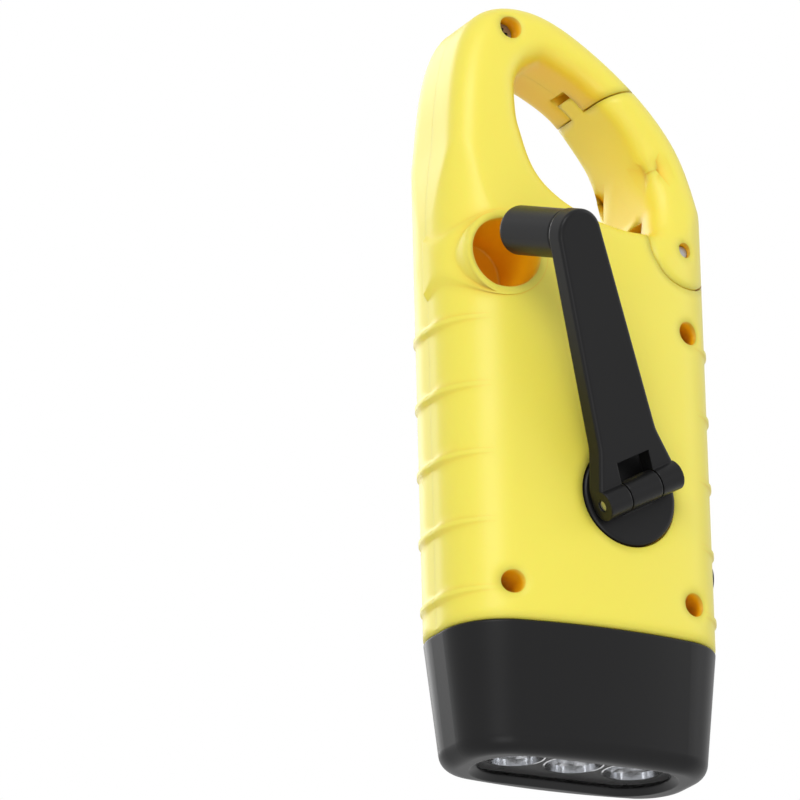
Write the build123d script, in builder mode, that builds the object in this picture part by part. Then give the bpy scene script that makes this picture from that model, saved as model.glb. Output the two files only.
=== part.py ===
"""Hand crank flashlight with a carabiner loop.

Millimetres, Z up. The lamp mouth is at Z = 0 and the loop on top. X is the width, the solar cell
faces -Y and the crank +Y. The moving pieces stand as they do at rest: the carabiner gate is shut
and the crank arm is lifted out of its pocket, clear of the case.
"""
import os
from math import acos, atan2, cos, degrees, hypot, pi, radians, sin, sqrt, tan

from build123d import *

# ---- general clearances ----
fit = 0.15               # between pieces that slide into each other
seat = 0.3               # running gap between moving pieces
bore_play = 0.1          # hole over pin, in diameter

# ---- case ----
half_width = 25.5        # centre to the ribbed narrow side
half_depth = 14.2        # centre to the crown of a wide face
crown_radius = 100.0     # gentle crown of the wide faces
corner_radius = 11.0     # long corners between wide face and narrow side
wall = 1.8
joint_height = 22.1      # seam between the black head and the yellow case
seam_bevel = 0.6
shoulder_height = 84.0   # where the straight sides end and the loop begins
total_height = 135.0
loop_edge_round = 4.4    # outer edges of the loop
opening_edge_round = 3.4  # edges of the finger opening
cavity_top = 92.8

# outer line of the loop, from the left shoulder over the top to the right shoulder
loop_outer = [(-24.2, 98.0), (-20.6, 111.4), (-12.7, 122.0), (-2.2, 130.4), (8.4, 134.7),
              (17.0, 132.9), (21.7, 125.0), (24.0, 109.5)]
# the finger opening: its foot, its right side and its left side
opening_foot = (-13.3, 95.2)
opening_right = [(-7.6, 95.3), (-1.2, 96.8), (4.2, 99.6), (8.6, 104.4), (10.8, 111.0)]
opening_turn = (11.6, 118.6)
opening_crook = (6.2, 125.5)
opening_left = [(-1.2, 122.3), (-7.6, 116.5), (-12.0, 109.4)]
opening_heel = (-13.9, 100.5)
opening_foot_round = 1.4
# half thickness against height, seen from the side
side_line = [(13.5, 89.0), (11.7, 97.0), (10.5, 106.0), (9.9, 118.0)]
side_top = 9.2

# ---- grip ribs ----
rib_count = 5
rib_low = 27.6           # middle of the lowest rib
rib_pitch = 11.98
rib_proud = 0.55
rib_height = 2.6
rib_crest = 0.7
rib_reach = 17.2         # the ribs start this far from the middle

# ---- head ----
head_taper = 6.0
head_edge_round = 3.0
lens_depth = 1.0         # lens face behind the rim of the mouth
mouth_half_length = 17.4
mouth_half_width = 6.6
mouth_bevel = 1.6
collar_height = 2.8      # spigot of the head inside the case
collar_wall = 1.45
ledge_x = 18.5           # ledges under the ends of the lamp board
ledge_half = 5.0
lamp_board_half_length = 20.5
lamp_board_half_width = 7.5
reflector_pitch = 11.2
reflector_diameter = 10.4
reflector_depth = 8.6
reflector_wall = 0.3
lens_thickness = 1.0
lens_border = 1.4        # lens beyond the mouth, all round
led_diameter = 5.0
led_flange = 5.6
led_bulb = 5.2
led_base = 1.0
led_gap = 0.3            # bulb inside the neck of its reflector
board_thickness = 1.2
holder_thickness = 1.2

# ---- solar panel ----
bezel_centre_x = -0.5
bezel_half_width = 15.7
bezel_bottom = 26.8
bezel_shoulder = 75.6    # where the arched top edge meets the sides
bezel_rise = 2.4
bezel_proud = 1.3
bezel_sink = 1.3         # depth of the bezel's seat in the case
bezel_rim = 1.1
bezel_slope = 2.1
bezel_slope_depth = 1.0
bezel_corner = 2.6
bezel_edge = 0.3
cell_centre_x = -0.85
cell_half_width = 10.25
cell_bottom = 32.4
cell_height = 37.9
cell_thickness = 1.2
cell_lap = 1.4           # cell under the bezel
cell_corner = 2.0

# ---- housing screws ----
screw_places = [(12.8, 129.8), (17.3, 28.6), (-17.3, 28.6), (-18.3, 77.4)]
screw_well = 4.1
screw_head = 3.5
screw_head_height = 1.4
screw_shank = 2.0
screw_length = 9.0
screw_slot = 0.5
screw_slot_depth = 0.7
screw_seat = 4.6         # height of the head's seat over the parting plane
boss_radius = 3.3

# ---- gate ----
pin_x, pin_z = -18.2, 92.5
pin_diameter = 2.6
pin_half = 11.0
heel_radius = 6.8
tip_radius = 30.0        # the gate's tip, from its pin
lug_half = 5.4           # half thickness of the lug that carries the pin
lug_radius = 5.6
slot_radius = 8.0
tongue_half = 2.1
tongue_length = 3.2
tongue_depth = 3.0
tongue_fit = 0.25
tongue_room = 1.5        # free slot beyond the tongue
seam = 0.35              # between the tip and the loop
gate_inner_x, gate_inner_z = -5.2, 118.9
spring_wire = 0.5
spring_half = 1.9        # half width of its slot in the lug
spring_turns = 3
spring_start = 15.0
spring_leg = 4.6

# ---- crank ----
hub_x, hub_z = -4.6, 45.9
stow_angle = 27.8        # arm over its pocket, from the vertical
lift_angle = 22.5        # arm lifted clear, as it stands at rest
hub_radius = 8.8
hub_dome = 0.7
hub_thickness = 1.5
hub_top = 14.3
arm_gap = 0.25           # arm over the hub's face when folded down
arm_thickness = 3.2
arm_length = 45.3
arm_tip_radius = 4.4
arm_root_half = 6.2
arm_window_height = 8.7
arm_edge = 0.7
arm_neck = 9.0           # height at which the root has narrowed
knuckle_radius = 2.6
knuckle_width = 6.4
barrel_half = 8.0
hinge_pin_diameter = 1.8
post_diameter = 3.4
knob_diameter = 8.4
knob_length = 14.5
knob_edge = 1.0
knob_screw_head = 4.6
knob_screw_height = 1.2
knob_screw_shank = 1.4
knob_sink = 1.6          # depth of the screw's recess
post_play = 0.1          # end play of the knob
pocket_diameter = 12.4
pocket_offset = 1.0      # further out than the knob, for its swing
pocket_room = 1.2        # below the knob
pocket_wall = 1.2
mound_proud = 0.75
mound_foot = 10.4
mound_top = 7.3

# ---- gear train ----
module = 0.6
pressure_angle = 25.0
addendum = 0.8
dedendum = 1.05
backlash = 0.09
drive_teeth = 34
pinion_teeth = 10
second_teeth = 28
third_teeth = 26
second_bearing = -90.0  # from the hub, in degrees from +X towards +Z
third_bearing = 10.0
rotor_bearing = 68.0
gear_thickness = 1.8
gear_step = 0.6          # between gears of neighbouring stages
drive_top = 10.6
shaft_diameter = 4.0
clip_diameter = 6.8
clip_thickness = 0.6
gear_collar = 1.6
axle_diameter = 1.5
rotor_shaft_diameter = 1.5
plate_top = 2.2
plate_thickness = 1.2
post_places = [(18.3, 34.2), (7.0, 55.8), (-18.5, 49.5)]
post_radius = 1.5
plate_edge = 2.0         # plate round each post
plate_screw = 1.4
plate_screw_head = 2.8
plate_screw_head_height = 0.9
plate_screw_length = 5.0
axle_boss_radius = 2.0
axle_seat = 1.2
hub_boss_radius = 10.2
magnet_diameter = 13.0
magnet_length = 6.4
air_gap = 0.6
coil_thickness = 1.8
yoke_wall = 0.9

# ---- switch ----
button_z = 37.0
button_diameter = 8.4
button_proud = 0.9
button_travel = 0.7
button_flange = 0.6
button_step = 1.0        # flange behind the wall
button_edge = 0.4
switch_size = (5.0, 7.0, 7.0)
switch_face = 21.2       # its near face, from the middle
cradle_wall = 1.2
cradle_x = 1.0

# ---- battery and board ----
battery_diameter = 15.6
battery_length = 20.0
battery_edge = 0.4
battery_x, battery_y, battery_z = -3.0, -2.0, 66.0
saddle_spread = 7.0
saddle_thickness = 1.2
saddle_rise = 0.7
board_size = (24.0, 28.0)
board_x, board_z = -1.0, 41.5
board_y = -9.6
board_foot_radius = 1.5

pocket_x = hub_x + (arm_length + pocket_offset) * sin(radians(stow_angle))
pocket_z = hub_z + (arm_length + pocket_offset) * cos(radians(stow_angle))
pivot_y = hub_top + arm_gap + knuckle_radius
plate_low = hub_top + arm_gap
knob_end = plate_low - knob_length
pocket_floor = knob_end - pocket_room
seat_y = half_depth - bezel_sink
pad_y = seat_y - 1.6


def plan(extra_x=0.0, extra_y=0.0):
    """The case's cross-section, larger by the given amounts on each narrow and wide side."""
    reach_x = half_width + extra_x
    reach_y = half_depth + extra_y
    crown = crown_radius + extra_y
    with BuildSketch() as section:
        Rectangle(2 * reach_x, 2 * reach_y)
        for side in (-1, 1):
            with Locations((0, side * (crown - reach_y))):
                Circle(crown, mode=Mode.INTERSECT)
        fillet(section.vertices(), corner_radius + min(extra_x, 0))
    return section.sketch


def stadium(half_x, half_y):
    """A slot shape, its full half length and half width."""
    with BuildSketch() as shape:
        SlotOverall(2 * half_x, 2 * half_y)
    return shape.sketch


def gear_face(teeth, turn):
    """An involute gear's outline in X and Z, with the middle of one tooth at the given angle."""
    pitch_radius = module * teeth / 2
    base = pitch_radius * cos(radians(pressure_angle))
    tip = pitch_radius + addendum * module
    root = pitch_radius - dedendum * module
    slope = tan(radians(pressure_angle)) - radians(pressure_angle)
    half_tooth = pi / (2 * teeth) - backlash / (2 * pitch_radius)
    flank = []
    for radius in (root, (max(base, root) + pitch_radius) / 2, pitch_radius + 0.1 * module, tip):
        lean = acos(min(1.0, base / max(radius, base)))
        flank.append((radius, half_tooth + slope - (tan(lean) - lean)))
    points = []
    for tooth in range(teeth):
        middle = radians(turn) + 2 * pi * tooth / teeth
        for radius, half in flank:
            points.append((radius * cos(middle - half), radius * sin(middle - half)))
        for radius, half in reversed(flank):
            points.append((radius * cos(middle + half), radius * sin(middle + half)))
    with BuildSketch() as outline:
        with BuildLine():
            Polyline(*points, close=True)
        make_face()
    return outline.sketch


def xz(y, x=0.0, z=0.0):
    """A sketch plane at depth y whose axes run along X and Z; extruding goes towards -Y."""
    return Plane(origin=(x, y, z), x_dir=(1, 0, 0), z_dir=(0, -1, 0))


def axis_at(start, bearing, distance):
    """A point in X and Z, at a distance from another along a bearing in degrees."""
    x, z = start
    return x + distance * cos(radians(bearing)), z + distance * sin(radians(bearing))


def rod(x, z, top, low, radius, mode=Mode.ADD):
    """A round bar along Y at (x, z), from its top end to its low end."""
    with Locations(Location((x, top, z), (90, 0, 0))):
        Cylinder(radius, top - low, align=(Align.CENTER, Align.CENTER, Align.MIN), mode=mode)


def bezel_face(grow=0.0):
    """The bezel's outline in X and Z: straight sides under a shallow arched top edge."""
    half = bezel_half_width + grow
    with BuildSketch() as face:
        with BuildLine():
            sides = Polyline((bezel_centre_x - half, bezel_shoulder + grow),
                             (bezel_centre_x - half, bezel_bottom - grow),
                             (bezel_centre_x + half, bezel_bottom - grow),
                             (bezel_centre_x + half, bezel_shoulder + grow))
            ThreePointArc(sides @ 1, (bezel_centre_x, bezel_shoulder + bezel_rise + grow), sides @ 0)
        make_face()
        fillet(face.vertices(), bezel_corner + grow / 2)
    return face.sketch


def cell_face(grow=0.0):
    """The cell's window in X and Z."""
    with BuildSketch() as face:
        with Locations((cell_centre_x, cell_bottom + cell_height / 2)):
            RectangleRounded(2 * (cell_half_width + grow), cell_height + 2 * grow, cell_corner)
    return face.sketch


def save(piece, label):
    """Names a finished piece and writes it."""
    piece.part.label = label
    export_step(piece.part, "parts/" + label + ".step")


second_axle = axis_at((hub_x, hub_z), second_bearing, module * (drive_teeth + pinion_teeth) / 2)
third_axle = axis_at(second_axle, third_bearing, module * (second_teeth + pinion_teeth) / 2)
rotor_axle = axis_at(third_axle, rotor_bearing, module * (third_teeth + pinion_teeth) / 2)
drive_low = drive_top - gear_thickness
second_top = drive_low - gear_step
second_low = second_top - gear_thickness
third_top = second_low - gear_step
third_low = third_top - gear_thickness
yoke_radius = magnet_diameter / 2 + air_gap + coil_thickness + yoke_wall
spring_radius = pin_diameter / 2 + fit + spring_wire / 2
coil_y = spring_half - spring_wire / 2 - fit
recess_floor = hub_top - hub_thickness - arm_gap
boss_low = drive_top + seat
plate_high = plate_low + arm_thickness
plate_under = plate_top - plate_thickness
holder_low = lens_depth + lens_thickness
holder_top = holder_low + holder_thickness
lamp_board_low = holder_low + reflector_depth + led_base
shaft_low = plate_under
cell_front = seat_y + cell_thickness
bezel_top = half_depth + bezel_proud
screw_top = knob_end + knob_sink - post_play
yoke_low = plate_under - magnet_length - 2 * yoke_wall - air_gap
magnet_low = yoke_low + yoke_wall + air_gap
arm_pose = (Location((hub_x, 0, hub_z), (0, stow_angle, 0)) * Location((0, pivot_y, 0))
            * Location((0, 0, 0), (-lift_angle, 0, 0)) * Location((0, -pivot_y, 0)))


os.makedirs("parts", exist_ok=True)

# ---- outer form of the case: front view, side view and cross-section together ----
with BuildPart() as envelope:
    with BuildSketch(xz(half_depth + 2)):
        with BuildLine():
            left = Line((-half_width - 0.2, joint_height - 1), (-half_width - 0.2, shoulder_height))
            crest = Spline(left @ 1, *loop_outer, (half_width + 0.2, shoulder_height),
                           tangents=[(0, 1), (0, -1)])
            right = Line(crest @ 1, (half_width + 0.2, joint_height - 1))
            Line(right @ 1, left @ 0)
        make_face()
    extrude(amount=2 * half_depth + 4)
    with BuildSketch(Plane.YZ.offset(-half_width - 2)):
        with BuildLine():
            flank = Line((half_depth, joint_height - 2), (half_depth, shoulder_height - 4))
            curve = Spline(flank @ 1, *side_line, (side_top, total_height + 3),
                           tangents=[(0, 1), (0, 1)])
            top = Line(curve @ 1, (-side_top, total_height + 3))
            back = Spline(top @ 1, *[(-y, z) for y, z in reversed(side_line)],
                          (-half_depth, shoulder_height - 4), tangents=[(0, -1), (0, -1)])
            low = Line(back @ 1, (-half_depth, joint_height - 2))
            Line(low @ 1, flank @ 0)
        make_face()
    extrude(amount=2 * half_width + 4, mode=Mode.INTERSECT)
    rims = envelope.edges().filter_by(lambda e: abs(e.center().Y) > side_top - 1)
    rims = rims.filter_by(lambda e: e.bounding_box().size.Y < half_depth)
    rims = rims.filter_by(lambda e: e.bounding_box().size.Z > 5)
    fillet(rims, loop_edge_round)
    with BuildSketch(xz(half_depth + 4)) as opening:
        with BuildLine():
            foot = Spline(opening_foot, *opening_right, opening_turn, tangents=[(1, 0), (0, 1)])
            crook = TangentArc(foot @ 1, opening_crook, tangent=(0, 1))
            bow = Spline(crook @ 1, *opening_left, opening_heel, tangents=[crook % 1, (0, -1)],
                         tangent_scalars=(0.25, 0.25))
            Line(bow @ 1, opening_foot)
        make_face()
        fillet(opening.vertices().sort_by_distance((opening_foot[0], half_depth + 4,
                                                    opening_foot[1]))[0], opening_foot_round)
    extrude(amount=2 * half_depth + 8, mode=Mode.SUBTRACT)
    outline = opening.sketch.bounding_box()
    walls = envelope.faces().filter_by(
        lambda f: abs(f.center().Y) < 1 and f.bounding_box().size.Y > half_depth
        and outline.min.X - 0.1 < f.bounding_box().min.X
        and f.bounding_box().max.X < outline.max.X + 0.1
        and outline.min.Z - 0.1 < f.bounding_box().min.Z)
    lips = ShapeList({e for f in walls for e in f.edges()
                      if e.bounding_box().size.Y < half_depth})
    fillet(lips, opening_edge_round)
    with BuildSketch(Plane.XY.offset(joint_height)):
        add(plan())
    extrude(amount=total_height, mode=Mode.INTERSECT)
    chamfer(envelope.faces().sort_by(Axis.Z)[0].edges(), seam_bevel)

with BuildPart() as rib:
    with BuildSketch(Plane.XY.offset(-rib_crest / 2)):
        add(plan(rib_proud, -fit))
    extrude(amount=rib_crest)
    for side in (1, -1):
        with BuildSketch(Plane.XY.offset(side * rib_crest / 2)):
            add(plan(rib_proud, -fit))
        fade = (rib_height - rib_crest) / 2
        extrude(amount=side * fade, taper=degrees(atan2(rib_proud + fit, fade)))
    Box(2 * rib_reach, 4 * half_depth, 2 * rib_height, mode=Mode.SUBTRACT)

# the soft swelling that carries the rim of the knob's pocket
with BuildPart() as mound:
    with Locations(Location((pocket_x, 0, pocket_z), (-90, 0, 0))):
        Cone(mound_foot, mound_top, half_depth + 0.1,
             align=(Align.CENTER, Align.CENTER, Align.MIN))
    with BuildSketch(Plane.XY.offset(pocket_z - 2 * mound_foot)):
        add(plan(mound_proud, 0.1))
    extrude(amount=4 * mound_foot, mode=Mode.INTERSECT)

with BuildPart() as form:
    add(envelope.part)
    add(mound.part)
    with Locations([(0, 0, rib_low + n * rib_pitch) for n in range(rib_count)]):
        add(rib.part)
    # flat round seat of the button, through the ribs
    with Locations(Location((-half_width, 0, button_z), (0, -90, 0))):
        Cylinder(button_diameter / 2 + 1, 3 * rib_proud,
                 align=(Align.CENTER, Align.CENTER, Align.MIN), mode=Mode.SUBTRACT)

with BuildPart() as cavity:
    for top, sink in ((shoulder_height - 1, 0), (cavity_top, wall)):
        with BuildSketch(Plane.XY.offset(joint_height)):
            add(plan(-wall, -wall - sink))
        extrude(amount=top - joint_height)
    with Locations(Location((pin_x, 0, pin_z), (90, 0, 0))):
        Cylinder(heel_radius + seat + wall, 3 * half_depth, mode=Mode.SUBTRACT)


def gate_zone(tip, heel):
    """The gate's reach in X and Z: a wedge out of the loop from its round heel to its tip."""
    with BuildSketch() as zone:
        with BuildLine():
            Polyline((pin_x, pin_z), (pin_x - 2 * heel, pin_z), (pin_x - 2 * heel, pin_z + 2 * tip),
                     (gate_inner_x + tip, pin_z + 2 * tip), (gate_inner_x + 3.5, gate_inner_z + 0.8),
                     (opening_heel[0] + 4.5, opening_heel[1] + 6.5),
                     (opening_heel[0] + 2.6, opening_heel[1] - 1), close=True)
        make_face()
        with Locations((pin_x, pin_z)):
            Circle(tip, mode=Mode.INTERSECT)
            Circle(heel)
    return zone.sketch


def catch_zone(reach, depth):
    """Where the gate's tongue lies in the end of the loop's upper arm, in X and Z."""
    lean = degrees(atan2(crest_z - gate_inner_z, crest_x - gate_inner_x))
    with BuildSketch() as zone:
        with Locations((pin_x, pin_z)):
            Circle(reach)
            Circle(tip_radius - 1.5, mode=Mode.SUBTRACT)
        with Locations(Location((gate_inner_x, gate_inner_z, 0), (0, 0, lean))):
            with Locations((0, depth)):
                Rectangle(6 * tongue_length, depth + 4, align=(Align.CENTER, Align.MAX),
                          mode=Mode.INTERSECT)
    return zone.sketch


crest_x, crest_z = opening_left[0]
with BuildPart() as tongue:
    add(envelope.part)
    with BuildSketch(xz(tongue_half)):
        add(catch_zone(tip_radius + tongue_length, tongue_depth))
    extrude(amount=2 * tongue_half, mode=Mode.INTERSECT)

# the lug stands up from the shoulder between the gate's two cheeks
with BuildPart() as lug:
    add(envelope.part)
    with BuildSketch(xz(lug_half)):
        with Locations((pin_x, pin_z)):
            Circle(lug_radius)
            Rectangle(2 * (heel_radius + 2 * seat), heel_radius + 2 * seat,
                      align=(Align.CENTER, Align.MAX))
    extrude(amount=2 * lug_half, mode=Mode.INTERSECT)
    # room for the spring and its leg
    with BuildSketch(xz(spring_half)):
        with Locations(Location((pin_x, pin_z, 0), (0, 0, spring_start))):
            Circle(spring_radius + spring_wire)
            Rectangle(2 * (spring_radius + spring_wire), 2 * lug_radius,
                      align=(Align.CENTER, Align.MIN))
    extrude(amount=2 * spring_half, mode=Mode.SUBTRACT)

# ---- case: one closed form, hollowed, cut for the gate and then parted at Y = 0 ----
with BuildPart() as inside:
    with Locations([(x, 0, z) for x, z in screw_places[1:]]):
        with Locations(Location((0, half_depth, 0), (90, 0, 0))):
            Cylinder(boss_radius, 2 * half_depth, align=(Align.CENTER, Align.CENTER, Align.MIN))
    # posts of the gear plate and seats of its axles
    for x, z in post_places:
        rod(x, z, half_depth, plate_top, post_radius)
    for x, z in (second_axle, third_axle):
        rod(x, z, half_depth, boss_low, axle_boss_radius)
    rod(hub_x, hub_z, half_depth, boss_low, hub_boss_radius)
    # saddles that hold the battery, half in each shell
    for side in (-1, 1):
        with Locations((battery_x + side * saddle_spread, 0, battery_z)):
            Box(saddle_thickness, 2 * half_depth, battery_diameter + 2 * saddle_rise)
    with Locations(Location((battery_x, battery_y, battery_z), (0, 90, 0))):
        Cylinder(battery_diameter / 2 + fit / 2, 2 * battery_length, mode=Mode.SUBTRACT)
    # cradle round the far half of the switch
    with Locations((cradle_x - switch_face, 0, button_z)):
        Box(switch_size[0] - 2 * cradle_x, 2 * half_depth,
            switch_size[2] + 2 * (fit + cradle_wall), align=(Align.MIN, Align.CENTER, Align.CENTER))
        Box(switch_size[0], switch_size[1] + 2 * fit, switch_size[2] + 2 * fit,
            align=(Align.MIN, Align.CENTER, Align.CENTER), mode=Mode.SUBTRACT)
    # floor under the bezel's seat, and the feet of the board
    with BuildSketch(xz(-pad_y)):
        add(bezel_face())
    extrude(amount=half_depth - pad_y)
    for x in (-1, 1):
        for z in (-1, 1):
            rod(board_x + x * (board_size[0] / 2 - 2), board_z + z * (board_size[1] / 2 - 2),
                board_y - board_thickness / 2, -seat_y, board_foot_radius)
    with BuildSketch(Plane.XY.offset(joint_height + collar_height + fit)):
        add(plan(-wall / 2, -wall / 2))
    extrude(amount=total_height, mode=Mode.INTERSECT)

with BuildPart() as shell:
    add(form.part)
    add(cavity.part, mode=Mode.SUBTRACT)
    add(inside.part)
    rod(pocket_x, pocket_z, half_depth - wall, 0, pocket_diameter / 2 + pocket_wall)
    # the gate's gap, with the lug that carries its pin
    with BuildSketch(xz(half_depth + 1)):
        add(gate_zone(tip_radius + seam, heel_radius + seat))
    extrude(amount=2 * half_depth + 2, mode=Mode.SUBTRACT)
    with BuildSketch(xz(tongue_half + tongue_fit)):
        add(catch_zone(tip_radius + tongue_length + tongue_room, tongue_depth + seat))
    extrude(amount=2 * (tongue_half + tongue_fit), mode=Mode.SUBTRACT)
    add(lug.part)
    rod(pin_x, pin_z, half_depth, -half_depth, pin_diameter / 2, mode=Mode.SUBTRACT)
    # solar panel's seat
    with BuildSketch(xz(-seat_y)):
        add(bezel_face(fit))
    extrude(amount=half_depth, mode=Mode.SUBTRACT)
    # crank: recess and bore of the hub, pocket of the knob
    rod(hub_x, hub_z, 2 * half_depth, recess_floor, hub_radius + seat, mode=Mode.SUBTRACT)
    rod(hub_x, hub_z, half_depth, boss_low - 1, (shaft_diameter + bore_play) / 2,
        mode=Mode.SUBTRACT)
    rod(pocket_x, pocket_z, 2 * half_depth, 0, pocket_diameter / 2, mode=Mode.SUBTRACT)
    for x, z in (second_axle, third_axle):
        rod(x, z, boss_low + axle_seat, boss_low - 1, axle_diameter / 2, mode=Mode.SUBTRACT)
    for x, z in post_places:
        rod(x, z, plate_top + plate_screw_length, 0, plate_screw / 2, mode=Mode.SUBTRACT)
    # button
    with Locations(Location((-half_width - 1, 0, button_z), (0, 90, 0))):
        Cylinder((button_diameter + bore_play) / 2 + fit, wall + 2,
                 align=(Align.CENTER, Align.CENTER, Align.MIN), mode=Mode.SUBTRACT)
    # screw wells in the back, pilot holes in the front
    for x, z in screw_places:
        rod(x, z, 2 * half_depth, screw_seat, screw_well / 2, mode=Mode.SUBTRACT)
        rod(x, z, screw_seat, 0, (screw_shank + bore_play) / 2, mode=Mode.SUBTRACT)
        rod(x, z, 0, screw_seat - screw_length - 1, screw_shank / 2, mode=Mode.SUBTRACT)

with BuildPart() as back_housing:
    add(shell.part)
    split(bisect_by=Plane.XZ, keep=Keep.BOTTOM)
    rod(pocket_x, pocket_z, wall, pocket_floor - pocket_wall, pocket_diameter / 2 + pocket_wall)
    rod(pocket_x, pocket_z, 2 * wall, pocket_floor, pocket_diameter / 2, mode=Mode.SUBTRACT)
    mouth = back_housing.edges().filter_by(GeomType.CIRCLE, reverse=True).filter_by(
        lambda e: abs(hypot(e.center().X - pocket_x, e.center().Z - pocket_z)) < 2
        and e.center().Y > half_depth - 1 and e.bounding_box().size.X > pocket_diameter - 1)
save(back_housing, "back_housing")

with BuildPart() as front_housing:
    add(shell.part)
    split(bisect_by=Plane.XZ, keep=Keep.TOP)
    rod(pocket_x, pocket_z, 0, pocket_floor - pocket_wall - seat,
        pocket_diameter / 2 + pocket_wall + fit, mode=Mode.SUBTRACT)
save(front_housing, "front_housing")

# ---- gate ----
with BuildPart() as gate:
    add(envelope.part)
    with BuildSketch(xz(half_depth)):
        add(gate_zone(tip_radius, heel_radius))
    extrude(amount=2 * half_depth, mode=Mode.INTERSECT)
    add(tongue.part)
    rod(pin_x, pin_z, lug_half + seat, -lug_half - seat, slot_radius, mode=Mode.SUBTRACT)
    rod(pin_x, pin_z, half_depth, -half_depth, (pin_diameter + bore_play) / 2, mode=Mode.SUBTRACT)
save(gate, "gate")

with BuildPart() as gate_pin:
    rod(pin_x, pin_z, pin_half, -pin_half, pin_diameter / 2)
    chamfer(gate_pin.edges(), 0.2)
save(gate_pin, "gate_pin")

# torsion spring on the pin, its legs against the lug's floor and towards the gate
with BuildPart() as gate_spring:
    with BuildLine():
        points = []
        for step in range(4 * spring_turns + 1):
            angle = radians(spring_start + 90 * step)
            points.append((pin_x + spring_radius * cos(angle),
                           coil_y - 2 * coil_y * step / (4 * spring_turns),
                           pin_z + spring_radius * sin(angle)))
        for first, middle, last in zip(points[0::2], points[1::2], points[2::2]):
            ThreePointArc(first, middle, last)
        leg = radians(spring_start + 90)
        Line(points[-1], (points[-1][0] + spring_leg * cos(leg), points[-1][1],
                          points[-1][2] + spring_leg * sin(leg)))
    with BuildSketch(Plane(origin=points[0], z_dir=(-sin(radians(spring_start)), 0,
                                                    cos(radians(spring_start))))):
        Circle(spring_wire / 2)
    sweep()
save(gate_spring, "gate_spring")

# ---- head and lamp ----
with BuildPart() as head_space:
    with BuildSketch(Plane.XY.offset(holder_top)):
        add(plan(-wall - fit - collar_wall, -wall - fit - collar_wall))
    extrude(amount=joint_height + collar_height)
    # ledges at both ends carry the lamp board
    for side, align in ((-1, Align.MAX), (1, Align.MIN)):
        with Locations((side * ledge_x, 0, holder_top)):
            Box(half_width, 2 * ledge_half, lamp_board_low - holder_top,
                align=(align, Align.CENTER, Align.MIN), mode=Mode.SUBTRACT)
    with BuildSketch(Plane.XY.offset(lens_depth)):
        add(stadium(mouth_half_length + lens_border + fit, mouth_half_width + lens_border + fit))
    extrude(amount=lens_thickness + holder_thickness)

with BuildPart() as mouth:
    with BuildSketch(Plane.XY):
        add(stadium(mouth_half_length + mouth_bevel, mouth_half_width + mouth_bevel))
    with BuildSketch(Plane.XY.offset(lens_depth)):
        add(stadium(mouth_half_length, mouth_half_width))
    loft()

with BuildPart() as head:
    with BuildSketch(Plane.XY.offset(joint_height)):
        add(plan())
    extrude(amount=-joint_height, taper=head_taper)
    fillet(head.faces().sort_by(Axis.Z)[0].edges(), head_edge_round)
    chamfer(head.faces().sort_by(Axis.Z)[-1].edges(), seam_bevel / 2)
    with BuildSketch(Plane.XY.offset(joint_height - collar_height)):
        add(plan(-wall - fit, -wall - fit))
    extrude(amount=2 * collar_height)
    add(head_space.part, mode=Mode.SUBTRACT)
    add(mouth.part, mode=Mode.SUBTRACT)
save(head, "head")

with BuildPart() as lens:
    with BuildSketch(Plane.XY.offset(lens_depth)):
        add(stadium(mouth_half_length + lens_border, mouth_half_width + lens_border))
    extrude(amount=lens_thickness)
save(lens, "lens")

lamp_places = [(n * reflector_pitch, 0, 0) for n in (-1, 0, 1)]
with BuildPart() as reflector_holder:
    with BuildSketch(Plane.XY.offset(holder_low)):
        add(stadium(mouth_half_length + lens_border, mouth_half_width + lens_border))
        with Locations(lamp_places):
            Circle(reflector_diameter / 2 + fit / 2, mode=Mode.SUBTRACT)
    extrude(amount=holder_thickness)
save(reflector_holder, "reflector_holder")

with BuildPart() as bowl:
    rim = reflector_diameter / 2
    neck = led_diameter / 2 + led_gap
    with BuildSketch(Plane.XZ):
        with BuildLine():
            shell_line = Spline((rim - reflector_wall, holder_top),
                                (neck + 0.62 * (rim - neck), holder_top + reflector_depth / 2),
                                (neck, holder_low + reflector_depth),
                                tangents=[(-0.15, 1), (-0.8, 1)])
            back_line = Polyline(shell_line @ 1,
                                 (neck + reflector_wall, holder_low + reflector_depth))
            outer_line = Spline(back_line @ 1,
                                (neck + 0.62 * (rim - neck) + reflector_wall,
                                 holder_top + reflector_depth / 2),
                                (rim, holder_top), tangents=[(0.8, -1), (0.15, -1)])
            Polyline(outer_line @ 1, (rim, holder_low), (rim - reflector_wall, holder_low),
                     shell_line @ 0)
        make_face()
    revolve(axis=Axis.Z)

with BuildPart() as reflectors:
    with Locations(lamp_places):
        add(bowl.part)
save(reflectors, "reflectors")

with BuildPart() as led:
    Cylinder(led_flange / 2, led_base, align=(Align.CENTER, Align.CENTER, Align.MAX))
    with Locations((0, 0, -led_base)):
        Cylinder(led_diameter / 2, led_bulb, align=(Align.CENTER, Align.CENTER, Align.MAX))
    fillet(led.faces().sort_by(Axis.Z)[0].edges(), led_diameter / 2 - 0.05)

with BuildPart() as leds:
    with Locations([(x, y, lamp_board_low) for x, y, z in lamp_places]):
        add(led.part)
save(leds, "leds")

with BuildPart() as led_board:
    with Locations((0, 0, lamp_board_low)):
        Box(2 * lamp_board_half_length, 2 * lamp_board_half_width, board_thickness,
            align=(Align.CENTER, Align.CENTER, Align.MIN))
    fillet(led_board.edges().filter_by(Axis.Z), 2)
save(led_board, "led_board")

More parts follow.
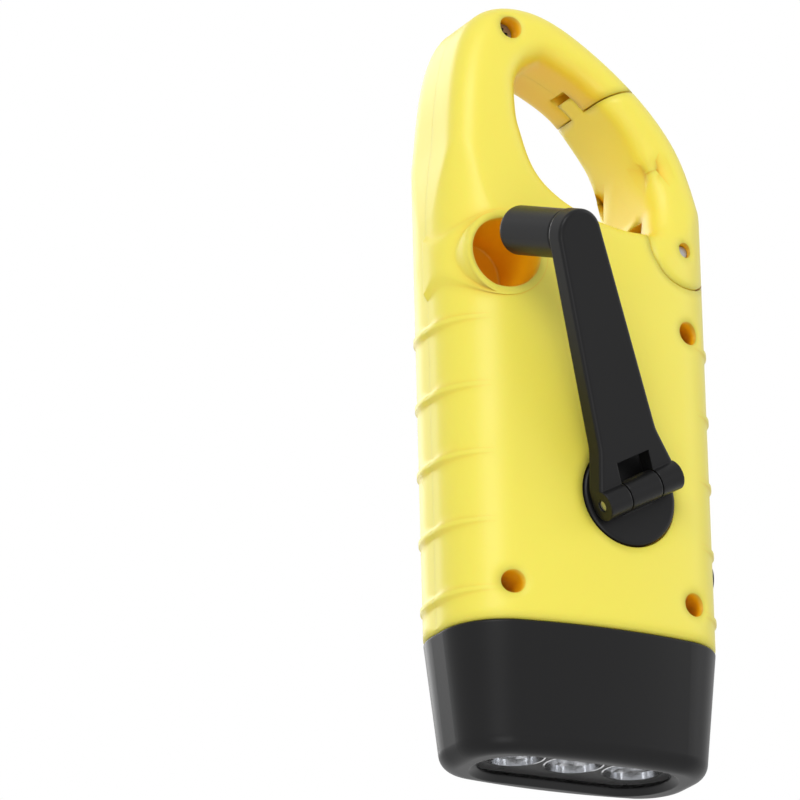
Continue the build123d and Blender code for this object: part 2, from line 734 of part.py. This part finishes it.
# ---- solar panel ----
with BuildPart() as solar_bezel:
    with BuildSketch(xz(-seat_y)):
        add(bezel_face())
    extrude(amount=bezel_top - seat_y)
    fillet(solar_bezel.faces().sort_by(Axis.Y)[0].edges(), bezel_edge)
    with BuildSketch(xz(-bezel_top)):
        add(bezel_face(-bezel_rim))
    with BuildSketch(xz(-bezel_top + bezel_slope_depth)):
        add(bezel_face(-bezel_rim - bezel_slope))
    loft(mode=Mode.SUBTRACT)
    with BuildSketch(xz(-cell_front)):
        add(cell_face())
    extrude(amount=half_depth, mode=Mode.SUBTRACT)
    with BuildSketch(xz(-seat_y)):
        add(cell_face(cell_lap + fit))
    extrude(amount=cell_thickness, mode=Mode.SUBTRACT)
save(solar_bezel, "solar_bezel")

with BuildPart() as solar_cell:
    with BuildSketch(xz(-seat_y)):
        add(cell_face(cell_lap))
    extrude(amount=cell_thickness)
save(solar_cell, "solar_cell")

# ---- housing screws ----
with BuildPart() as housing_screws:
    for x, z in screw_places:
        rod(x, z, screw_seat + screw_head_height, screw_seat, screw_head / 2)
        rod(x, z, screw_seat, screw_seat - screw_length, screw_shank / 2)
        with Locations((x, screw_seat + screw_head_height, z)):
            Box(screw_head * 0.6, screw_slot_depth * 2, screw_slot, mode=Mode.SUBTRACT)
            Box(screw_slot, screw_slot_depth * 2, screw_head * 0.6, mode=Mode.SUBTRACT)
save(housing_screws, "housing_screws")

# ---- crank hub, turning about its own depth axis ----
with BuildPart() as crank_hub:
    rod(hub_x, hub_z, hub_top, hub_top - hub_thickness, hub_radius)
    fillet(crank_hub.faces().sort_by(Axis.Y)[-1].edges(), hub_dome)
    # centre knuckle of the hinge on its pedestal, square to the stowed arm
    with Locations(Location((hub_x, hub_top - hub_dome, hub_z), (0, stow_angle, 0))):
        Box(knuckle_width, pivot_y - hub_top + hub_dome, 2 * knuckle_radius,
            align=(Align.CENTER, Align.MIN, Align.CENTER))
    with Locations(Location((hub_x, pivot_y, hub_z), (0, stow_angle + 90, 0))):
        Cylinder(knuckle_radius, knuckle_width)
        Cylinder(hinge_pin_diameter / 2, 2 * knuckle_width, mode=Mode.SUBTRACT)
    rod(hub_x, hub_z, hub_top - hub_thickness, shaft_low, shaft_diameter / 2)
save(crank_hub, "crank_hub")

with BuildPart() as drive_gear:
    with BuildSketch(xz(drive_top, hub_x, hub_z)):
        add(gear_face(drive_teeth, second_bearing))
        Circle(shaft_diameter / 2, mode=Mode.SUBTRACT)
    extrude(amount=gear_thickness)
save(drive_gear, "drive_gear")

with BuildPart() as shaft_clip:
    rod(hub_x, hub_z, drive_low, drive_low - clip_thickness, clip_diameter / 2)
    rod(hub_x, hub_z, drive_low, drive_low - clip_thickness, shaft_diameter / 2,
        mode=Mode.SUBTRACT)
save(shaft_clip, "shaft_clip")

# ---- crank arm and knob: drawn along +Z over the hub's middle, then lifted and turned ----
with BuildPart() as arm_form:
    with BuildSketch(xz(plate_high)) as outline_of_arm:
        with BuildLine():
            Polyline((-barrel_half, 0), (-barrel_half, knuckle_radius),
                     (-arm_root_half, arm_neck), (-arm_tip_radius, arm_length),
                     (arm_tip_radius, arm_length), (arm_root_half, arm_neck),
                     (barrel_half, knuckle_radius), (barrel_half, 0), close=True)
        make_face()
        fillet(outline_of_arm.vertices().filter_by(lambda v: abs(v.Y - arm_neck) < 0.1), arm_neck)
        with Locations((0, arm_length)):
            Circle(arm_tip_radius)
    extrude(amount=arm_thickness)
    fillet(arm_form.faces().sort_by(Axis.Y)[-1].edges(), arm_edge)
    with Locations(Location((0, pivot_y, 0), (0, 90, 0))):
        Cylinder(knuckle_radius, 2 * barrel_half)
    with Locations((0, pivot_y, arm_window_height - knuckle_radius)):
        Box(knuckle_width + 2 * seat, 4 * knuckle_radius, 2 * arm_window_height,
            align=(Align.CENTER, Align.CENTER, Align.MAX), mode=Mode.SUBTRACT)
    with Locations(Location((0, pivot_y, 0), (0, 90, 0))):
        Cylinder((hinge_pin_diameter + bore_play) / 2, 3 * barrel_half, mode=Mode.SUBTRACT)
    rod(0, arm_length, plate_low, knob_end + knob_sink - post_play, post_diameter / 2)
    rod(0, arm_length, plate_low, knob_end, knob_screw_shank / 2, mode=Mode.SUBTRACT)

with BuildPart() as crank_arm:
    with Locations(arm_pose):
        add(arm_form.part)
save(crank_arm, "crank_arm")

with BuildPart() as pin_form:
    with Locations(Location((0, pivot_y, 0), (0, 90, 0))):
        Cylinder(hinge_pin_diameter / 2, 2 * barrel_half - 2 * seat)

with BuildPart() as hinge_pin:
    with Locations(arm_pose):
        add(pin_form.part)
save(hinge_pin, "hinge_pin")

with BuildPart() as knob_form:
    rod(0, arm_length, plate_low - seat, knob_end, knob_diameter / 2)
    fillet(knob_form.faces().sort_by(Axis.Y)[0].edges(), knob_edge)
    fillet(knob_form.faces().sort_by(Axis.Y)[-1].edges(), knob_edge / 2)
    rod(0, arm_length, plate_low, knob_end, (post_diameter + bore_play) / 2, mode=Mode.SUBTRACT)
    rod(0, arm_length, knob_end + knob_sink, knob_end, knob_screw_head / 2 + seat,
        mode=Mode.SUBTRACT)

with BuildPart() as knob:
    with Locations(arm_pose):
        add(knob_form.part)
save(knob, "knob")

with BuildPart() as end_screw_form:
    rod(0, arm_length, screw_top, screw_top - knob_screw_height, knob_screw_head / 2)
    rod(0, arm_length, plate_low - 1, screw_top, knob_screw_shank / 2)
    with Locations((0, screw_top - knob_screw_height, arm_length)):
        Box(knob_screw_head * 0.6, screw_slot_depth * 2, screw_slot, mode=Mode.SUBTRACT)
        Box(screw_slot, screw_slot_depth * 2, knob_screw_head * 0.6, mode=Mode.SUBTRACT)

with BuildPart() as knob_screw:
    with Locations(arm_pose):
        add(end_screw_form.part)
save(knob_screw, "knob_screw")

# ---- gear train: each stage a large wheel over the next small one ----
with BuildPart() as gear_2:
    with BuildSketch(xz(drive_top, *second_axle)):
        add(gear_face(pinion_teeth, second_bearing + 180 + 180 / pinion_teeth))
    extrude(amount=drive_top - second_top)
    with BuildSketch(xz(second_top, *second_axle)):
        add(gear_face(second_teeth, third_bearing))
    extrude(amount=gear_thickness)
    rod(*second_axle, second_low, plate_top + seat, gear_collar)
    rod(*second_axle, drive_top, plate_top, (axle_diameter + bore_play) / 2, mode=Mode.SUBTRACT)
save(gear_2, "gear_2")

with BuildPart() as gear_3:
    with BuildSketch(xz(second_top, *third_axle)):
        add(gear_face(pinion_teeth, third_bearing + 180 + 180 / pinion_teeth))
    extrude(amount=second_top - third_top)
    with BuildSketch(xz(third_top, *third_axle)):
        add(gear_face(third_teeth, rotor_bearing))
    extrude(amount=gear_thickness)
    rod(*third_axle, third_low, plate_top + seat, gear_collar)
    rod(*third_axle, boss_low - seat, second_top, gear_collar)
    rod(*third_axle, drive_top, plate_top, (axle_diameter + bore_play) / 2, mode=Mode.SUBTRACT)
save(gear_3, "gear_3")

with BuildPart() as axles:
    for x, z in (second_axle, third_axle):
        rod(x, z, boss_low + axle_seat, plate_top - plate_thickness, axle_diameter / 2)
save(axles, "axles")

with BuildPart() as gear_plate:
    with BuildSketch(xz(plate_top)) as plate_face:
        with Locations(post_places + [second_axle]):
            Circle(plate_edge)
        make_hull()
        with Locations(post_places):
            Circle(plate_screw / 2 + bore_play, mode=Mode.SUBTRACT)
        with Locations((second_axle, third_axle)):
            Circle(axle_diameter / 2, mode=Mode.SUBTRACT)
        with Locations((hub_x, hub_z)):
            Circle((shaft_diameter + bore_play) / 2, mode=Mode.SUBTRACT)
        with Locations(rotor_axle):
            Circle(rotor_shaft_diameter / 2 + bore_play, mode=Mode.SUBTRACT)
    extrude(amount=plate_thickness)
save(gear_plate, "gear_plate")

with BuildPart() as plate_screws:
    for x, z in post_places:
        rod(x, z, plate_under, plate_under - plate_screw_head_height, plate_screw_head / 2)
        rod(x, z, plate_top + plate_screw_length - 0.5, plate_under, plate_screw / 2)
save(plate_screws, "plate_screws")

# ---- generator: a magnet turning inside a coil, in an iron cup under the gear plate ----
with BuildPart() as yoke:
    rod(*rotor_axle, plate_under, yoke_low, yoke_radius)
    rod(*rotor_axle, plate_under, yoke_low + yoke_wall, yoke_radius - yoke_wall,
        mode=Mode.SUBTRACT)
    rod(*rotor_axle, plate_under, yoke_low, rotor_shaft_diameter / 2 + bore_play,
        mode=Mode.SUBTRACT)
save(yoke, "yoke")

with BuildPart() as coil:
    rod(*rotor_axle, yoke_low + yoke_wall + magnet_length, yoke_low + yoke_wall,
        yoke_radius - yoke_wall)
    rod(*rotor_axle, plate_under, yoke_low, yoke_radius - yoke_wall - coil_thickness,
        mode=Mode.SUBTRACT)
save(coil, "coil")

with BuildPart() as magnet:
    rod(*rotor_axle, magnet_low + magnet_length, magnet_low, magnet_diameter / 2)
    rod(*rotor_axle, magnet_low + magnet_length, magnet_low, rotor_shaft_diameter / 2,
        mode=Mode.SUBTRACT)
save(magnet, "magnet")

with BuildPart() as rotor:
    with BuildSketch(xz(third_top, *rotor_axle)):
        add(gear_face(pinion_teeth, rotor_bearing + 180 + 180 / pinion_teeth))
    extrude(amount=gear_thickness)
    rod(*rotor_axle, third_low, plate_top + seat, gear_collar)
    rod(*rotor_axle, third_top, yoke_low, rotor_shaft_diameter / 2)
save(rotor, "rotor")

# ---- switch ----
with BuildPart() as switch_button:
    with Locations(Location((-half_width - button_proud, 0, button_z), (0, 90, 0))):
        Cylinder(button_diameter / 2, wall + button_proud + button_step,
                 align=(Align.CENTER, Align.CENTER, Align.MIN))
    fillet(switch_button.faces().sort_by(Axis.X)[0].edges(), button_edge)
    with Locations(Location((-half_width + wall + button_step, 0, button_z), (0, 90, 0))):
        Cylinder(button_diameter / 2 + button_flange, button_flange,
                 align=(Align.CENTER, Align.CENTER, Align.MIN))
save(switch_button, "switch_button")

with BuildPart() as switch_body:
    with Locations((-switch_face, 0, button_z)):
        Box(*switch_size, align=(Align.MIN, Align.CENTER, Align.CENTER))
save(switch_body, "switch_body")

# ---- battery and main board ----
with BuildPart() as battery:
    with Locations(Location((battery_x, battery_y, battery_z), (0, 90, 0))):
        Cylinder(battery_diameter / 2, battery_length)
    fillet(battery.edges(), battery_edge)
save(battery, "battery")

with BuildPart() as main_board:
    with Locations((board_x, board_y, board_z)):
        Box(board_size[0], board_thickness, board_size[1])
save(main_board, "main_board")
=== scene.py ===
"""Looks for the hand crank flashlight: materials, small lamp details, light and camera.

Lengths are in metres, if nothing else is said.
"""
import math

import bmesh
import bpy
from mathutils import Matrix, Vector


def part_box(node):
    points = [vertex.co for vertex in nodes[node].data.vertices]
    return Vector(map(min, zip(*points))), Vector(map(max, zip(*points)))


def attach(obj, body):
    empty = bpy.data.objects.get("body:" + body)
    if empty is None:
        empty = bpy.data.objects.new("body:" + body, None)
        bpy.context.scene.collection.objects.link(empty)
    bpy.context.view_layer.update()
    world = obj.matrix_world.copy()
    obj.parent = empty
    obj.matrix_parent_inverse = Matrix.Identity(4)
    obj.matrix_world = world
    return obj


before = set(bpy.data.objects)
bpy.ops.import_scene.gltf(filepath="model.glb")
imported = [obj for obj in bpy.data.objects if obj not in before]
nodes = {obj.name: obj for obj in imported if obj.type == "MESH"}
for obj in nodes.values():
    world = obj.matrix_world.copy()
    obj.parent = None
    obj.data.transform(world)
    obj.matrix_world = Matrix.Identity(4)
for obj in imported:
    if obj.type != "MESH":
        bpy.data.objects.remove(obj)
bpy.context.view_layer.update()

white = (1, 1, 1, 1)
unlit = (0, 0, 0, 1)
middle = (0, 0, 0.065)       # the object's middle, which the lights and the camera face

# ---- surface ----
grain_depth = 0.00002
plastic_grain = 2600         # noise scales
metal_grain = 4000
round_share = 0.8            # rounding radius against the distance from the parting plane
round_least = 0.0002
hollow_reach = 0.03          # walls nearer than this make a hollow
hollow_full = 0.35           # open share at which a hollow has its whole painted shade

# ---- solar cell ----
strip_pitch = 0.00421
strip_line = 0.0324          # height of one of the lines between the strips
strips_under = 20            # whole strips added, so that the count stays above zero
cell_foot, cell_top = 0.032, 0.071

# ---- lamps: radii, and heights over the tip of the dome ----
lamp_pitch = 0.0112
post_radius, post_foot = 0.0003, 0.0034
cup_radius, cup_edge, cup_rim = 0.0009, 0.0028, 0.0026
chip_radius, cup_floor = 0.0006, 0.003
chip_back, chip_face = 0.0031, 0.0028

# ---- floor ----
floor_half = 0.7
floor_drop = 0.0004          # under the head's rim
fade_start, fade_end = 0.12, 0.6


# ---------- materials ----------
class Graph:
    """The node tree of a material or a world, with short calls for the nodes used here."""

    def __init__(self, owner, shader, output):
        owner.use_nodes = True
        self.owner = owner
        self.tree = owner.node_tree
        self.shader = self.tree.nodes[shader]
        self.surface = self.tree.nodes[output].inputs["Surface"]

    def node(self, kind, **values):
        """A new node. A name that starts with in_ sets the input of that name."""
        made = self.tree.nodes.new(kind)
        for key, value in values.items():
            if key.startswith("in_"):
                made.inputs[key[3:].replace("_", " ")].default_value = value
            else:
                setattr(made, key, value)
        return made

    def feed(self, source, socket):
        """Link an output to a socket, or give the socket a plain value."""
        if isinstance(source, bpy.types.NodeSocket):
            self.tree.links.new(source, socket)
        else:
            socket.default_value = source

    def set(self, **values):
        for key, value in values.items():
            self.feed(value, self.shader.inputs[key.replace("_", " ")])

    def place(self):
        """The point on the piece."""
        return self.node("ShaderNodeTexCoord").outputs["Object"]

    def coordinate(self, axis):
        parts = self.node("ShaderNodeSeparateXYZ")
        self.feed(self.place(), parts.inputs[0])
        return parts.outputs[axis]

    def noise(self, scale, detail=2.0):
        made = self.node("ShaderNodeTexNoise", in_Scale=scale, in_Detail=detail)
        self.feed(self.place(), made.inputs["Vector"])
        return made.outputs["Fac"]

    def ramp(self, value, stops):
        made = self.node("ShaderNodeValToRGB")
        while len(made.color_ramp.elements) < len(stops):
            made.color_ramp.elements.new(0.5)
        for element, (position, colour) in zip(made.color_ramp.elements, stops):
            element.position = position
            element.color = colour
        self.feed(value, made.inputs["Fac"])
        return made.outputs["Color"]

    def calculate(self, operation, *values):
        made = self.node("ShaderNodeMath", operation=operation)
        for value, socket in zip(values, made.inputs):
            self.feed(value, socket)
        return made.outputs[0]

    def largest(self, first, *others):
        for other in others:
            first = self.calculate("MAXIMUM", first, other)
        return first

    def share_between(self, value, start, end):
        """0 where the value is at start, 1 where it is at end."""
        made = self.node("ShaderNodeMapRange", in_From_Min=start, in_From_Max=end)
        self.feed(value, made.inputs["Value"])
        return made.outputs["Result"]

    def blend(self, share, start, end):
        """A colour between two others."""
        made = self.node("ShaderNodeMix", data_type="RGBA")
        for name, source in (("Factor", share), ("A", start), ("B", end)):
            self.feed(source, made.inputs[name])
        return made.outputs["Result"]

    def blend_surface(self, share, start, end):
        """Send a mix of two shaders to the output."""
        made = self.node("ShaderNodeMixShader")
        for socket, source in zip(made.inputs, (share, start, end)):
            self.feed(source, socket)
        self.feed(made.outputs[0], self.surface)

    def uneven(self, colour, spread, scale, detail):
        """The colour, here and there darker by the spread."""
        dark = tuple(c * (1 - spread) for c in colour[:3]) + (1.0,)
        return self.ramp(self.noise(scale, detail), [(0.3, dark), (0.7, colour)])

    def roughness(self, low, high, scale):
        made = self.node("ShaderNodeMapRange", in_To_Min=low, in_To_Max=high)
        self.feed(self.noise(scale), made.inputs["Value"])
        self.set(Roughness=made.outputs["Result"])

    def grain(self, scale, strength):
        made = self.node("ShaderNodeBump", in_Strength=strength, in_Distance=grain_depth)
        self.feed(self.noise(scale, detail=3), made.inputs["Height"])
        self.set(Normal=made.outputs["Normal"])
        return made

    def clear_of_parting(self, most):
        """A rounding radius that shrinks towards the case's parting plane, which stays crisp."""
        aside = self.calculate("ABSOLUTE", self.coordinate("Y"))
        radius = self.largest(self.calculate("MULTIPLY", aside, round_share), round_least)
        return self.calculate("MINIMUM", radius, most)


def material(name):
    return Graph(bpy.data.materials.new(name), "Principled BSDF", "Material Output")


def srgb(red, green, blue):
    """A colour from 0-255 display values."""
    def linear(value):
        value /= 255
        return value / 12.92 if value <= 0.04045 else ((value + 0.055) / 1.055) ** 2.4
    return (linear(red), linear(green), linear(blue), 1.0)


def plastic(name, colour, spread, rough, grain=0.12, soft=0.0003, hollow_shade=None, **extra):
    """Moulded plastic: slightly uneven colour and gloss, a fine grain, softened edges.

    Given a hollow_shade colour, the hollows are painted in it by how closed in they are: painted
    shade.
    """
    made = material(name)
    paint = made.uneven(colour, spread, scale=28, detail=3)
    # painted shade: ambient occlusion blends the colour towards the hollow shade colour in
    # hollows
    if hollow_shade:
        hollow = made.node("ShaderNodeAmbientOcclusion", samples=6, only_local=True,
                           in_Distance=hollow_reach)
        openness = made.share_between(hollow.outputs["AO"], hollow_full, 1.0)
        paint = made.blend(openness, hollow_shade, paint)
    made.set(Base_Color=paint)
    made.roughness(rough - 0.05, rough + 0.05, scale=60)
    bump = made.grain(plastic_grain, grain)
    edge = made.node("ShaderNodeBevel", samples=8)
    made.feed(made.clear_of_parting(soft), edge.inputs["Radius"])
    made.feed(edge.outputs["Normal"], bump.inputs["Normal"])
    made.set(**extra)
    return made.owner


def metal(name, colour, rough):
    """Bare metal, a little dull here and there."""
    made = material(name)
    made.set(Metallic=1.0, Base_Color=made.uneven(colour, 0.15, scale=300, detail=4))
    made.roughness(rough, rough + 0.15, scale=900)
    made.grain(metal_grain, 0.1)
    return made.owner


def mirror():
    """Plated reflector."""
    made = material("reflector")
    made.set(Metallic=1.0, Base_Color=srgb(235, 236, 238))
    made.roughness(0.06, 0.12, scale=500)
    made.grain(900, 0.05)
    return made.owner


def clear():
    """Clear window, which shows what is behind it and a gloss."""
    made = material("clear_lens")
    made.set(Base_Color=(0.02, 0.02, 0.02, 1), Alpha=0.12)
    made.roughness(0.02, 0.05, scale=120)
    return made.owner


def led_dome():
    """Clear resin."""
    made = material("led_dome")
    made.set(Base_Color=(0.95, 0.97, 0.95, 1), Transmission_Weight=0.9, IOR=1.5)
    made.roughness(0.03, 0.08, scale=400)
    return made.owner


def solar():
    """Brown cell under glass: even strips across it, parted by thin pale lines."""
    made = material("solar_cell")
    height = made.coordinate("Z")
    strips = made.calculate("MULTIPLY_ADD", height, 1 / strip_pitch,
                            -strip_line / strip_pitch + strips_under)
    line = made.ramp(made.calculate("FRACT", strips),
                     [(0.0, white), (0.03, white), (0.055, unlit), (0.945, unlit), (0.97, white)])
    brown = made.ramp(made.share_between(height, cell_foot, cell_top),
                      [(0.0, srgb(196, 142, 114)), (0.45, srgb(172, 122, 98)),
                       (1.0, srgb(146, 102, 82))])
    made.set(Base_Color=made.blend(line, brown, srgb(214, 170, 146)))
    made.roughness(0.22, 0.3, scale=90)
    made.set(Coat_Weight=0.6, Coat_Roughness=0.08)
    return made.owner


# the case's hollows get a golden painted shade
yellow = plastic("yellow_case", srgb(252, 236, 90), 0.02, 0.4, soft=0.003,
                 hollow_shade=srgb(255, 196, 16), Subsurface_Weight=0.15, Subsurface_Scale=0.003,
                 Subsurface_Radius=(1.0, 0.55, 0.08))
black = plastic("black_satin", srgb(22, 22, 23), 0.12, 0.36, grain=0.25, soft=0.0004,
                Specular_IOR_Level=0.2)
black_gloss = plastic("black_smooth", srgb(19, 19, 20), 0.1, 0.26, Specular_IOR_Level=0.25)
black_dull = plastic("black_inner", srgb(20, 20, 21), 0.1, 0.6)
steel = metal("steel", srgb(178, 178, 180), 0.28)
zinc = metal("zinc_screw", srgb(150, 148, 142), 0.3)
iron = metal("iron", srgb(90, 90, 94), 0.4)
copper = metal("copper_wire", srgb(196, 112, 62), 0.3)
nylon = plastic("nylon_gear", srgb(232, 230, 220), 0.04, 0.4)
wrap = plastic("battery_wrap", srgb(28, 92, 54), 0.05, 0.3, Coat_Weight=0.3)
board = plastic("board_green", srgb(18, 74, 40), 0.1, 0.35, Coat_Weight=0.4)
phosphor = plastic("phosphor", srgb(238, 206, 74), 0.05, 0.5)

looks = {
    "front_housing": yellow, "back_housing": yellow, "gate": yellow, "head": black,
    "solar_bezel": black_gloss, "solar_cell": solar(), "lens": clear(),
    "reflector_holder": black_dull, "reflectors": mirror(), "leds": led_dome(),
    "led_board": board, "main_board": board, "housing_screws": zinc, "knob_screw": steel,
    "plate_screws": zinc, "shaft_clip": steel, "axles": steel, "hinge_pin": steel,
    "gate_pin": steel, "gate_spring": steel, "crank_hub": black, "crank_arm": black,
    "knob": black, "drive_gear": nylon, "gear_2": nylon, "gear_3": nylon, "gear_plate": nylon,
    "rotor": steel, "magnet": iron, "yoke": iron, "coil": copper, "switch_button": black,
    "switch_body": black_dull, "battery": wrap,
}
for name, look in looks.items():
    for held in nodes[name].material_slots:
        held.material = look


# ---------- small pieces inside the lamps ----------
def new_piece(name, mesh, look, body):
    made = bpy.data.objects.new(name, mesh)
    bpy.context.scene.collection.objects.link(made)
    made.data.materials.append(look)
    for face in made.data.polygons:
        face.use_smooth = True
    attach(made, body)


def turned(points, steps=32):
    """A mesh from a profile of (radius, height) turned about Z."""
    mesh = bpy.data.meshes.new("turned")
    shape = bmesh.new()
    rings = []
    for radius, height in points:
        rings.append([shape.verts.new((radius * math.cos(2 * math.pi * i / steps),
                                       radius * math.sin(2 * math.pi * i / steps), height))
                      for i in range(steps)])
    for near, far in zip(rings, rings[1:]):
        for i in range(steps):
            shape.faces.new((near[i], near[(i + 1) % steps], far[(i + 1) % steps], far[i]))
    shape.faces.new(rings[-1])
    shape.faces.new(list(reversed(rings[0])))
    shape.to_mesh(mesh)
    shape.free()
    return mesh


low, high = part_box("leds")
tip = low[2]
for number, side in enumerate((-1, 0, 1), 1):
    centre = Matrix.Translation((side * lamp_pitch, 0, 0))
    cup = turned([(post_radius, high[2]), (post_radius, tip + post_foot),
                  (cup_radius, tip + cup_edge), (cup_radius, tip + cup_rim),
                  (chip_radius, tip + cup_floor)])
    cup.transform(centre)
    new_piece(f"led_cup_{number}", cup, steel, "housing")
    chip = turned([(chip_radius, tip + chip_back), (chip_radius, tip + chip_face)])
    chip.transform(centre)
    new_piece(f"led_chip_{number}", chip, phosphor, "housing")


# ---------- stage ----------
def light(name, energy, size, place):
    """An area light of so many watts, facing the object's middle."""
    lamp = bpy.data.lights.new(name, "AREA")
    lamp.energy = energy
    lamp.size = size
    made = bpy.data.objects.new(name, lamp)
    made.location = place
    made.rotation_euler = (Vector(middle) - Vector(place)).to_track_quat("-Z", "Y").to_euler()
    bpy.context.scene.collection.objects.link(made)


# what the eye, mirrors and glass see is white paper, and all else gets a softer light
world = Graph(bpy.data.worlds.new("studio"), "Background", "World Output")
bpy.context.scene.world = world.owner
world.set(Color=white, Strength=0.5)
path = world.node("ShaderNodeLightPath")
paper_white = world.node("ShaderNodeBackground", in_Color=white)
seen = world.largest(path.outputs["Is Camera Ray"], path.outputs["Is Transmission Ray"],
                     path.outputs["Is Glossy Ray"])
world.blend_surface(seen, world.shader.outputs[0], paper_white.outputs[0])

# Pale floor at the rim of the head. Only the eye sees it, from above, and it fades away outwards.
corners = [(-floor_half, -floor_half, 0), (floor_half, -floor_half, 0),
           (floor_half, floor_half, 0), (-floor_half, floor_half, 0)]
floor_mesh = bpy.data.meshes.new("floor")
floor_mesh.from_pydata(corners, [], [(0, 1, 2, 3)])
floor = bpy.data.objects.new("floor", floor_mesh)
floor.location = (0, 0, -floor_drop)
bpy.context.scene.collection.objects.link(floor)
paper = material("paper")
paper.set(Base_Color=(0.93, 0.93, 0.92, 1), Roughness=0.9)
paper.grain(300, 0.05)
from_middle = paper.node("ShaderNodeVectorMath", operation="LENGTH")
paper.feed(paper.place(), from_middle.inputs[0])
through = paper.largest(
    paper.share_between(from_middle.outputs["Value"], fade_start, fade_end),
    paper.node("ShaderNodeNewGeometry").outputs["Backfacing"],
    paper.calculate("SUBTRACT", 1, paper.node("ShaderNodeLightPath").outputs["Is Camera Ray"]))
nothing = paper.node("ShaderNodeBsdfTransparent")
paper.blend_surface(through, paper.shader.outputs[0], nothing.outputs[0])
floor.data.materials.append(paper.owner)

light("key", 4.4, 0.5, (0.55, 0.75, 0.55))
light("side", 1.1, 0.5, (-0.8, 0.45, 0.35))
light("front", 3.4, 0.6, (0.2, -0.9, 0.5))
light("low", 1.6, 0.5, (0.35, 0.7, -0.45))

# ---------- camera, at the photograph's angle on the crank side ----------
azimuth, elevation, roll = math.radians(152.2), math.radians(-18.9), math.radians(-1.41)
distance = 1.2
sensor = 36                  # millimetres
picture = 800                # pixels on each side
scale = 5.86                 # the picture's pixels per millimetre of the object
across, down = 562.2, 409.7  # the object's middle in the picture, in pixels
away = Vector((math.sin(azimuth) * math.cos(elevation), -math.cos(azimuth) * math.cos(elevation),
               math.sin(elevation)))
camera = bpy.data.objects.new("camera", bpy.data.cameras.new("camera"))
bpy.context.scene.collection.objects.link(camera)
turn = (-away).to_track_quat("-Z", "Y").to_matrix() @ Matrix.Rotation(roll, 3, "Z")
shift = turn @ Vector(((picture / 2 - across) / scale / 1000,
                       (down - picture / 2) / scale / 1000, 0))
camera.matrix_world = (Matrix.Translation(Vector(middle) + away * distance + shift)
                       @ turn.to_4x4())
camera.data.sensor_width = sensor
camera.data.lens = sensor * scale * distance * 1000 / picture
camera.data.clip_end = 20
bpy.context.scene.camera = camera
bpy.context.scene.view_settings.view_transform = "Standard"
